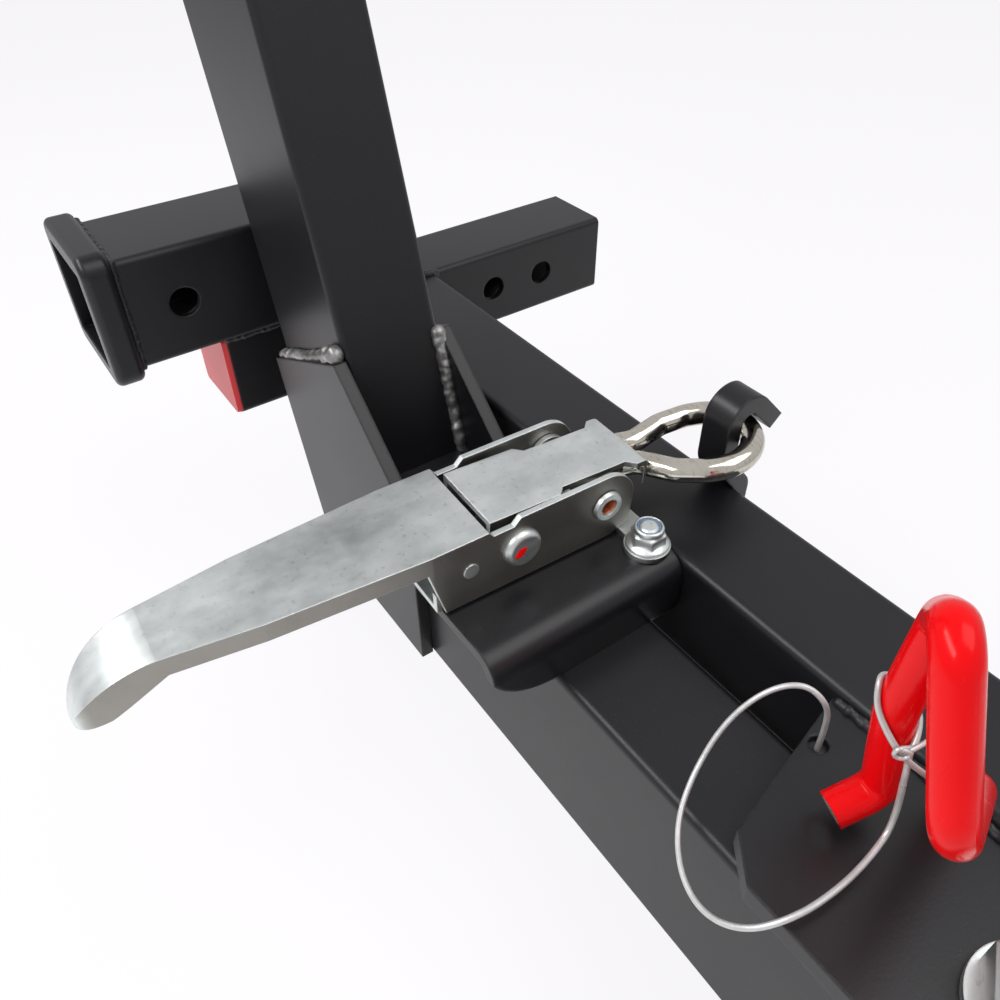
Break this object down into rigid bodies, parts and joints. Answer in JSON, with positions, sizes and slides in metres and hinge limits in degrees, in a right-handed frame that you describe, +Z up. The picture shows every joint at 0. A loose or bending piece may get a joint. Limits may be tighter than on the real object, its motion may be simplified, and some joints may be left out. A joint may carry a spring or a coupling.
{
  "type": "hitch spare tire carrier",
  "caption": "Hitch-mounted spare tire carrier: square shank and receiver, cross beam, hinged swing arm with mast and wheel plate, over-centre draw latch and tethered stop pin.",
  "frame": {"origin": "centre of the hitch pin hole in the shank that goes into the vehicle's receiver", "axes": "+X along the hitch pin hole towards the hinge side, +Y forward into the vehicle's receiver, +Z up"},
  "size_m": [0.6346, 0.404, 0.6964],
  "materials": {
    "black_powder_coat": "satin black powder coat with a fine grain",
    "zinc_steel": "satin zinc plate, slightly blue-green",
    "nickel_wire": "bright nickel plate",
    "red_vinyl": "glossy dipped vinyl",
    "red_plastic": "moulded plastic cap",
    "black_plastic": "moulded plastic, matte",
    "cable": "stranded wire, clear coated",
    "ferrule_alloy": "pressed aluminium sleeve"
  },
  "bodies": {
    "frame": {"hitch_shank": "black_powder_coat", "shank_end_cap": "red_plastic", "receiver_tube": "black_powder_coat", "receiver_collar": "black_powder_coat", "cross_beam": "black_powder_coat", "beam_end_cap": "black_plastic", "keeper_hook": "black_powder_coat", "upper_hinge_plate": "black_powder_coat", "lower_hinge_plate": "black_powder_coat", "hinge_back_plate": "black_powder_coat", "pivot_bolt": "zinc_steel", "pivot_washers": "zinc_steel", "pivot_nut": "zinc_steel", "lanyard_crimp": "black_plastic"},
    "swing_arm": {"hinge_hub": "black_powder_coat", "hub_bush_upper": "black_plastic", "hub_bush_lower": "black_plastic", "stop_lug": "black_powder_coat", "arm_tube": "black_powder_coat", "mast_tube": "black_powder_coat", "mast_cap": "black_plastic", "gusset_rear": "black_powder_coat", "gusset_front": "black_powder_coat", "latch_bracket": "black_powder_coat", "latch_base": "zinc_steel", "latch_studs": "zinc_steel", "latch_nuts": "zinc_steel", "latch_pivot_rivet": "zinc_steel", "wheel_stub": "black_powder_coat", "wheel_plate": "black_powder_coat", "wheel_studs": "zinc_steel"},
    "latch_handle": {"latch_handle": "zinc_steel", "link_rivet": "zinc_steel", "stop_rivet": "zinc_steel"},
    "draw_link": {"draw_plate": "zinc_steel"},
    "pull_ring": {"pull_ring": "nickel_wire"},
    "stop_pin": {"stop_pin": "zinc_steel", "pin_grip": "red_vinyl", "lanyard_ferrule": "ferrule_alloy", "lanyard": "cable"}
  },
  "joints": [
    {"name": "arm_swing", "type": "hinge", "parent": "frame", "child": "swing_arm", "pos_m": [0.47, -0.1734, 0], "axis": [0, 0, 1], "range_deg": [0, 105]},
    {"name": "latch_open", "type": "hinge", "parent": "swing_arm", "child": "latch_handle", "pos_m": [0.2482, -0.1531, 0.0459], "axis": [-0.9993, 0.0366, 0], "range_deg": [0, 60]},
    {"name": "link_turn", "type": "hinge", "parent": "latch_handle", "child": "draw_link", "pos_m": [0.24672, -0.19357, 0.045], "axis": [-0.9993, 0.0366, 0], "range_deg": [-30.5, 0]},
    {"name": "ring_turn", "type": "hinge", "parent": "draw_link", "child": "pull_ring", "pos_m": [0.24557, -0.13479, 0.0451], "axis": [-0.9993, 0.0366, 0], "range_deg": [-2.5, 0]},
    {"name": "pin_lift", "type": "slide", "parent": "frame", "child": "stop_pin", "axis": [0, 0, 1], "range_m": [0, 0.11]}
  ],
  "couplings": [
    {"joint": "link_turn", "follows": "latch_open", "ratio": -0.5},
    {"joint": "ring_turn", "follows": "latch_open", "ratio": -0.04}
  ]
}
